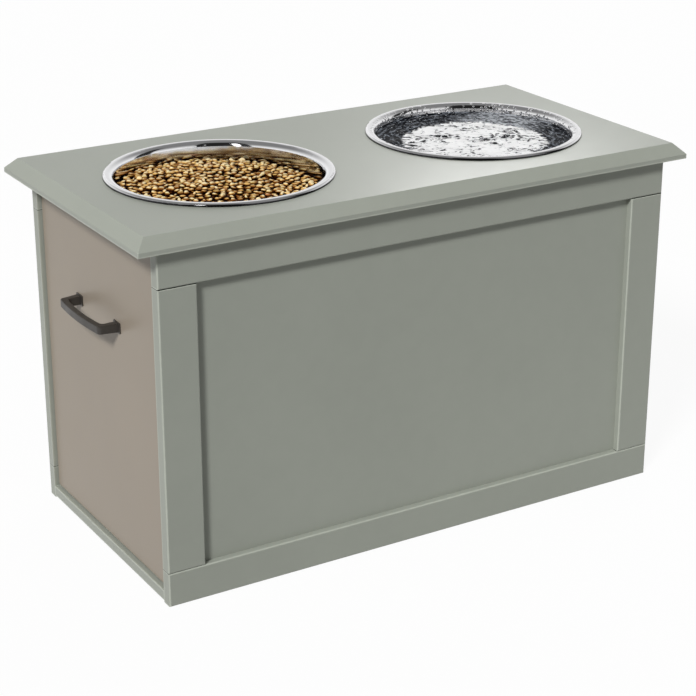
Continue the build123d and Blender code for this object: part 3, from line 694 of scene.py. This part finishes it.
def bowl_wall(node, height):
    """The radius of the bowl's inner wall at this height."""
    centre_x, centre_y = bowl_axis(node)
    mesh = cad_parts[node].data
    found = []
    for edge in mesh.edges:
        first, second = (mesh.vertices[index].co for index in edge.vertices)
        if (first.z - height) * (second.z - height) < 0:
            there = first.lerp(second, (height - first.z) / (second.z - first.z))
            found.append(math.hypot(there.x - centre_x, there.y - centre_y))
    if not found:
        raise RuntimeError(f"{node} has no wall at {height}")
    return min(found)


def wall_profile(node, step=0.004, first=2, last=18):
    """Heights and radii of the bowl's inner wall, from near its floor to near its rim."""
    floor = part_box(node)[0].z
    heights = [floor + count * step for count in range(first, last + 1)]
    return [(height, bowl_wall(node, height)) for height in heights]


def wall_at(profile, height):
    """The radius at a height, read from a bowl's profile."""
    for (low, low_radius), (high, high_radius) in zip(profile, profile[1:]):
        if height <= high:
            return low_radius + (high_radius - low_radius) * (height - low) / (high - low)
    return profile[-1][1]


def spun_fill(name, node, profile, steps, gap):
    """A solid that fills a bowl, spun from its top line of radii and heights, from the edge to the middle."""
    centre = Vector((*bowl_axis(node), 0))
    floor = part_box(node)[0].z + FILL_LIFT
    side = []
    top = profile[0][1]
    for row in range(1, FILL_ROWS):
        height = floor + (top - floor) * (row / FILL_ROWS) ** 1.4
        side.append((bowl_wall(node, height) - gap, height))
    line = [(0, floor), (side[0][0] * FILL_FOOT, floor)] + side + profile
    clear_selection()
    mesh = bpy.data.meshes.new(name)
    mesh.from_pydata([centre + Vector((radius, 0, height)) for radius, height in line],
                     [(index, index + 1) for index in range(len(line) - 1)], [])
    piece = bpy.data.objects.new(name, mesh)
    bpy.context.scene.collection.objects.link(piece)
    piece.select_set(True)
    bpy.context.view_layer.objects.active = piece
    bpy.ops.object.mode_set(mode="EDIT")
    bpy.ops.mesh.select_all(action="SELECT")
    bpy.ops.mesh.spin(steps=steps, angle=2 * math.pi, center=centre, axis=(0, 0, 1))
    bpy.ops.mesh.select_all(action="SELECT")
    bpy.ops.mesh.remove_doubles(threshold=0.00002)
    bpy.ops.mesh.normals_make_consistent(inside=False)
    bpy.ops.object.mode_set(mode="OBJECT")
    bpy.ops.object.shade_smooth_by_angle(angle=math.radians(40))
    return piece


def food_height(x, y, edge, reach):
    """How high the heap stands at this place, measured from the bowl's axis."""
    sizes = bpy.context.scene.feeder_sizes
    outward = min(1.0, math.hypot(x, y) / reach)
    heap = sizes.kibble_heap * (1 - outward ** 2.2)
    slope = -sizes.kibble_slope * x / reach
    lumps = 0.0016 * noise.noise(Vector((x * 34, y * 34, 0.7)))
    return edge + heap + slope + lumps


def water_height(x, y, wall):
    """How far the water stands above its level at this place, measured from the bowl's axis."""
    outward = math.hypot(x, y) / wall
    calm = min(1.0, (1 - outward) * RIPPLE_RISE)
    wave = sum(share * noise.noise(Vector((x * rate, y * rate, cut))) for rate, cut, share in RIPPLES)
    cling = CLING_HEIGHT * max(0.0, 1 - (1 - outward) * wall / CLING_REACH) ** 2
    return bpy.context.scene.feeder_sizes.water_ripple * calm * wave + cling


def one_kibble(number, width, flatness, stretch, dent):
    """One rounded, slightly dished piece of dry food, of a few dozen faces."""
    clear_selection()
    bpy.ops.mesh.primitive_uv_sphere_add(segments=8, ring_count=5, radius=width / 2, location=(0, 0, 0))
    piece = bpy.context.active_object
    piece.name = f"kibble_piece_{number}"
    bpy.ops.object.mode_set(mode="EDIT")
    bpy.ops.transform.resize(value=(stretch, 1 / stretch ** 0.5, flatness))
    bpy.ops.mesh.select_all(action="DESELECT")
    bpy.ops.object.mode_set(mode="OBJECT")
    top = max(vertex.co.z for vertex in piece.data.vertices)
    for vertex in piece.data.vertices:
        vertex.select = vertex.co.z > top * 0.9
    bpy.ops.object.mode_set(mode="EDIT")
    bpy.ops.mesh.select_mode(type="VERT")
    bpy.ops.transform.translate(value=(0, 0, -dent * top))
    bpy.ops.object.mode_set(mode="OBJECT")
    bpy.ops.object.shade_smooth()
    return piece


def scatter(count, gap, reach, seed):
    """Points in a circle, no two nearer than the gap."""
    dice = random.Random(seed)
    cells = {}
    points = []
    for _ in range(count):
        angle, outward = dice.uniform(0, 2 * math.pi), reach * math.sqrt(dice.random())
        x, y = outward * math.cos(angle), outward * math.sin(angle)
        column, row = int(x // gap), int(y // gap)
        near = [point for across in (-1, 0, 1) for along in (-1, 0, 1)
                for point in cells.get((column + across, row + along), ())]
        if all((x - other_x) ** 2 + (y - other_y) ** 2 > gap * gap for other_x, other_y in near):
            cells.setdefault((column, row), []).append((x, y))
            points.append((x, y))
    return points


# ---------------- operators

class FEEDER_OT_effects(bpy.types.Operator):
    """Builds the shared surface effects"""

    bl_idname = "feeder.effects"
    bl_label = "Surface Effects"

    def execute(self, context):
        for build in (build_edge_band, build_rolled_paint, build_pressed_fibres, build_straight_grain,
                      build_turned_rings, build_coated_metal):
            build()
        return {"FINISHED"}


class FEEDER_OT_painted_boards(bpy.types.Operator):
    """Paints the frames, panels, top and base"""

    bl_idname = "feeder.painted_boards"
    bl_label = "Painted Boards"

    def execute(self, context):
        for node in PAINTED_BOARDS:
            give(node, satin_paint(f"Satin Paint {node}", node, context.scene.feeder_colours.board_paint))
        return {"FINISHED"}


class FEEDER_OT_drawer_front(bpy.types.Operator):
    """Paints the drawer front"""

    bl_idname = "feeder.drawer_front"
    bl_label = "Drawer Front"

    def execute(self, context):
        paint = context.scene.feeder_colours.drawer_paint
        give("drawer_front", satin_paint("Satin Paint Drawer", "drawer_front", paint))
        return {"FINISHED"}


class FEEDER_OT_drawer_box(bpy.types.Operator):
    """Finishes the drawer box, the cleats and the dowels"""

    bl_idname = "feeder.drawer_box"
    bl_label = "Drawer Box"

    def execute(self, context):
        colours = context.scene.feeder_colours
        lacquered = pressed_board("Lacquered Fibreboard", colours.inner_board, contrast=1.0)
        for node in INNER_BOARDS:
            give(node, lacquered)
        give("drawer_bottom", pressed_board("Pale Hardboard", colours.hardboard, contrast=0.35))
        for node, along in DOWELS.items():
            give(node, beech_wood(f"Beech {node}", along))
        return {"FINISHED"}


class FEEDER_OT_bowls(bpy.types.Operator):
    """Polishes the two steel bowls"""

    bl_idname = "feeder.bowls"
    bl_label = "Steel Bowls"

    def execute(self, context):
        for node, roughness in BOWL_ROUGHNESS.items():
            give(node, polished_steel(node, roughness, splashed=node == "water_bowl"))
        return {"FINISHED"}


class FEEDER_OT_runners(bpy.types.Operator):
    """Coats the runners and finishes the rollers, pins and screws"""

    bl_idname = "feeder.runners"
    bl_label = "Runners"

    def execute(self, context):
        coat = coated_metal("Baked White Coat", context.scene.feeder_colours.runner, 0.0009, 0.32)
        for member in MEMBERS:
            give(f"{member}_runner", coat)
            roller = f"{member}_roller"
            low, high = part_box(roller)
            give(roller, turned_nylon(f"Nylon {roller}", (low + high) / 2))
        zinc = plated_zinc("Zinc Plate")
        for node in PLATED:
            give(node, zinc)
        return {"FINISHED"}


class FEEDER_OT_handle(bpy.types.Operator):
    """Coats the drawer handle"""

    bl_idname = "feeder.handle"
    bl_label = "Handle"

    def execute(self, context):
        black = context.scene.feeder_colours.handle
        give("drawer_handle", coated_metal("Black Powder Coat", black, 0.0005, 0.44, "drawer_handle"))
        return {"FINISHED"}


class FEEDER_OT_kibble(bpy.types.Operator):
    """Fills the food bowl with dry food"""

    bl_idname = "feeder.kibble"
    bl_label = "Dry Food"

    def execute(self, context):
        sizes = context.scene.feeder_sizes
        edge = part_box("food_bowl")[1].z - sizes.kibble_edge
        wall = bowl_wall("food_bowl", edge)
        self.lay_bed(sizes, edge, wall)
        shapes = [one_kibble(number, sizes.kibble_size * share, flatness, stretch, dent)
                  for number, (share, flatness, stretch, dent) in enumerate(KIBBLE_SHAPES, 1)]
        copies = self.heap_up(context, shapes, edge, wall)
        clear_selection()
        for shape in shapes:
            bpy.data.objects.remove(shape)
        for copy in copies:
            copy.select_set(True)
        context.view_layer.objects.active = copies[0]
        bpy.ops.object.join()
        kibble = context.active_object
        kibble.name = kibble.data.name = "kibble"
        kibble.data.materials.append(baked_kibble("Baked Kibble"))
        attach(kibble, "food_bowl")
        return {"FINISHED"}

    def lay_bed(self, sizes, edge, wall):
        """The bed on which the pieces lie, dark as painted shade between them."""
        centre = Vector((*bowl_axis("food_bowl"), 0))
        under = sizes.kibble_size * BED_DEPTH
        profile = [(wall * 0.985 * (1 - ring / BED_RINGS), edge - under) for ring in range(BED_RINGS + 1)]
        bed = spun_fill("food_bed", "food_bowl", profile, steps=72, gap=0.0006)
        for vertex in bed.data.vertices:
            if vertex.co.z > edge - under - TOP_SLACK:
                x, y = vertex.co.x - centre.x, vertex.co.y - centre.y
                vertex.co.z = food_height(x, y, edge, wall) - under
        bed.data.materials.append(kibble_shadow("Food Shadow"))
        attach(bed, "food_bowl")

    def heap_up(self, context, shapes, edge, wall):
        """Lays copies of the shapes on the heap, each turned and coloured in its own way."""
        sizes = context.scene.feeder_sizes
        width = sizes.kibble_size
        centre = Vector((*bowl_axis("food_bowl"), 0))
        profile = wall_profile("food_bowl")
        dice = random.Random(KIBBLE_SEED)
        copies = []
        for layer, drop in enumerate(LAYER_DROPS):
            gap = sizes.kibble_gap * (1 - LAYER_TIGHTENING * layer)
            for x, y in scatter(LAYER_THROWS, gap, wall - width * 0.45, LAYER_SEED + layer):
                height = food_height(x, y, edge, wall) - drop * width + dice.uniform(*KIBBLE_LIFTS)
                if math.hypot(x, y) > wall_at(profile, height) - width * 0.5:
                    continue
                shape = dice.choice(shapes)
                tilt = STRONG_TILT if dice.random() < STRONG_SHARE else TILT
                turned = Euler((dice.gauss(0, tilt), dice.gauss(0, tilt), dice.uniform(0, 2 * math.pi)))
                grown = Vector((dice.uniform(*KIBBLE_GROWTH),) * 3)
                copy = shape.copy()
                copy.data = shape.data.copy()
                copy.data.transform(Matrix.LocRotScale(centre + Vector((x, y, height)), turned, grown))
                count = len(copy.data.vertices)
                lit_above = height + SHADOW_START
                shadow = [(lit_above - vertex.co.z) / (width * SHADOW_REACH) + LAYER_SHADOW * layer
                          for vertex in copy.data.vertices]
                for label, values in (("tone", [dice.random()] * count), ("hue", [dice.random()] * count),
                                      ("deep", shadow)):
                    marks = copy.data.attributes.new(label, "FLOAT", "POINT")
                    marks.data.foreach_set("value", values)
                context.scene.collection.objects.link(copy)
                copies.append(copy)
        return copies


class FEEDER_OT_water(bpy.types.Operator):
    """Fills the water bowl"""

    bl_idname = "feeder.water"
    bl_label = "Water"

    def execute(self, context):
        centre = Vector((*bowl_axis("water_bowl"), 0))
        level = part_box("water_bowl")[1].z - context.scene.feeder_sizes.water_drop
        wall = bowl_wall("water_bowl", level)
        profile = [((wall - WATER_GAP) * (1 - ring / WATER_RINGS), level) for ring in range(WATER_RINGS + 1)]
        water = spun_fill("water", "water_bowl", profile, steps=168, gap=WATER_GAP)
        for vertex in water.data.vertices:
            if vertex.co.z > level - TOP_SLACK:
                vertex.co.z += water_height(vertex.co.x - centre.x, vertex.co.y - centre.y, wall)
        water.data.materials.append(rippled_water("Rippled Water", (*centre.xy, level), wall))
        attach(water, "water_bowl")
        return {"FINISHED"}


class FEEDER_OT_stage(bpy.types.Operator):
    """Lays the floor, lights it softly and sets the camera"""

    bl_idname = "feeder.stage"
    bl_label = "Stage"

    def execute(self, context):
        scene = context.scene
        self.lay_floor(scene)
        self.hang_backdrop(scene)
        for sun in SUNS:
            self.hang_sun(*sun)
        for strip in STRIPS:
            self.hang_strip(*strip)
        self.set_camera(scene)
        scene.view_settings.view_transform = "Standard"
        return {"FINISHED"}

    def lay_floor(self, scene):
        """A pale floor that keeps the feeder's shadow and is near white where it is seen or mirrored."""
        clear_selection()
        bpy.ops.mesh.primitive_plane_add(size=scene.feeder_sizes.floor_size, location=(0, 0, 0))
        floor = bpy.context.active_object
        floor.name = "floor"
        finish, tree, shader, place = start_finish("Pale Floor")
        tone = spread(tree, speckle(tree, place, 1.5), NOISE_RANGE, (0.47, 0.49))
        seen = maths(tree, "ADD", *ray_kinds(tree), clamp=True)
        feed(tree, shader, blend_colours(tree, seen, grey(tree, tone), (0.96, 0.96, 0.96)))
        hold(shader, {"Roughness": 0.9, "Specular IOR Level": 0.1})
        lift = wire(tree, "ShaderNodeEmission", {"Color": (1, 1, 1), "Strength": 1.0})
        mixed = wire(tree, "ShaderNodeMixShader",
                     {0: maths(tree, "MULTIPLY", seen, 0.93), 1: shader.outputs[0], 2: lift})
        tree.links.new(mixed, tree.nodes["Material Output"].inputs["Surface"])
        floor.data.materials.append(finish)

    def hang_lamp(self, kind, name, place, back, energy):
        """A lamp of this kind, with its back turned towards a direction."""
        bpy.ops.object.light_add(type=kind, location=place)
        lamp = bpy.context.active_object
        lamp.name = name
        lamp.data.energy = energy
        lamp.rotation_euler = back.to_track_quat("Z", "Y").to_euler()
        return lamp

    def hang_sun(self, name, toward, energy, angle):
        """A lamp far away in one direction, whose own disc no polished surface shows."""
        lamp = self.hang_lamp("SUN", name, (0, 0, 3), Vector(toward), energy)
        lamp.data.angle = math.radians(angle)
        lamp.visible_glossy = False

    def hang_strip(self, name, place, aim, size, power, nodes):
        """A lamp that is only a gleam on some nodes' finishes, aimed at a point."""
        lamp = self.hang_lamp("AREA", name, place, Vector(place) - Vector(aim), power)
        lamp.data.shape = "RECTANGLE"
        lamp.data.size, lamp.data.size_y = size
        lamp.visible_camera = lamp.visible_diffuse = False
        gleaming = bpy.data.collections.new(f"Gleam of {name}")
        for node in nodes:
            gleaming.objects.link(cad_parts[node])
        lamp.light_linking.receiver_collection = gleaming

    def hang_backdrop(self, scene):
        """A white backdrop and a weak even light, with a darker ceiling and dark cards that polish shows."""
        world = bpy.data.worlds.new("Studio")
        scene.world = world
        world.use_nodes = True
        tree = world.node_tree
        tree.nodes.clear()
        sight = wire(tree, "ShaderNodeTexCoord", out="Generated")
        rise = parts_of(tree, sight)["Z"]
        facing = vector_maths(tree, "NORMALIZE", flat_part(tree, sight))
        studio_level = spread(tree, rise, (0.15, 0.80), (1.0, 0.25))
        for toward, half_width, (low, high), level in CARDS:
            along = vector_maths(tree, "DOT_PRODUCT", facing, toward, out="Value")
            sides = [math.cos(math.radians(angle)) for angle in (half_width + CARD_SIDE_FADE, half_width)]
            upright = maths(tree, "MULTIPLY", spread(tree, rise, (low - CARD_RISE_FADE, low)),
                            spread(tree, rise, (high, high + CARD_RISE_FADE), FALLING))
            card = maths(tree, "MULTIPLY", spread(tree, along, sides), upright)
            studio_level = wire(tree, "ShaderNodeMix", {0: card, 2: studio_level, 3: level})
        direct, mirrored = ray_kinds(tree)
        soft, studio, white = (
            wire(tree, "ShaderNodeBackground", {"Color": (1, 1, 1), "Strength": strength})
            for strength in (0.10, studio_level, 1.0))
        lit = wire(tree, "ShaderNodeMixShader", {0: mirrored, 1: soft, 2: studio})
        shown = wire(tree, "ShaderNodeMixShader", {0: direct, 1: lit, 2: white})
        output = tree.nodes.new("ShaderNodeOutputWorld")
        tree.links.new(shown, output.inputs["Surface"])

    def set_camera(self, scene):
        """A long lens from the front left, a little above the top."""
        turn, rise = math.radians(CAMERA_TURN), math.radians(CAMERA_RISE)
        away = Vector((math.sin(turn) * math.cos(rise), -math.cos(turn) * math.cos(rise), math.sin(rise)))
        bpy.ops.object.camera_add(location=CAMERA_TARGET + away * CAMERA_DISTANCE)
        camera = bpy.context.active_object
        camera.name = "camera"
        camera.rotation_euler = away.to_track_quat("Z", "Y").to_euler()
        camera.data.sensor_width = CAMERA_SENSOR
        camera.data.lens = CAMERA_LENS
        scene.camera = camera


class FEEDER_PT_panel(bpy.types.Panel):
    """The feeder's operators, colours and sizes"""

    bl_label = "Elevated Dog Feeder"
    bl_idname = "FEEDER_PT_panel"
    bl_space_type = "VIEW_3D"
    bl_region_type = "UI"
    bl_category = "Feeder"

    def draw(self, context):
        for operator in OPERATORS:
            self.layout.operator(operator.bl_idname)
        for group in (context.scene.feeder_colours, context.scene.feeder_sizes):
            box = self.layout.box()
            for name in group.__annotations__:
                box.prop(group, name)


OPERATORS = (
    FEEDER_OT_effects, FEEDER_OT_painted_boards, FEEDER_OT_drawer_front, FEEDER_OT_drawer_box,
    FEEDER_OT_bowls, FEEDER_OT_runners, FEEDER_OT_handle, FEEDER_OT_kibble, FEEDER_OT_water,
    FEEDER_OT_stage,
)
CLASSES = (FeederColours, FeederSizes, *OPERATORS, FEEDER_PT_panel)


def register():
    """Registers the classes and puts the colours and sizes on the scene."""
    for each in CLASSES:
        bpy.utils.register_class(each)
    bpy.types.Scene.feeder_colours = bpy.props.PointerProperty(type=FeederColours)
    bpy.types.Scene.feeder_sizes = bpy.props.PointerProperty(type=FeederSizes)


def unregister():
    """Takes away what register added."""
    del bpy.types.Scene.feeder_sizes
    del bpy.types.Scene.feeder_colours
    for each in reversed(CLASSES):
        bpy.utils.unregister_class(each)


def main():
    """Finishes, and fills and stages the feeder."""
    register()
    bpy.ops.feeder.effects()
    bpy.ops.feeder.painted_boards()
    bpy.ops.feeder.drawer_front()
    bpy.ops.feeder.drawer_box()
    bpy.ops.feeder.bowls()
    bpy.ops.feeder.runners()
    bpy.ops.feeder.handle()
    bpy.ops.feeder.kibble()
    bpy.ops.feeder.water()
    bpy.ops.feeder.stage()
    bpy.context.view_layer.update()


if __name__ == "__main__":
    main()
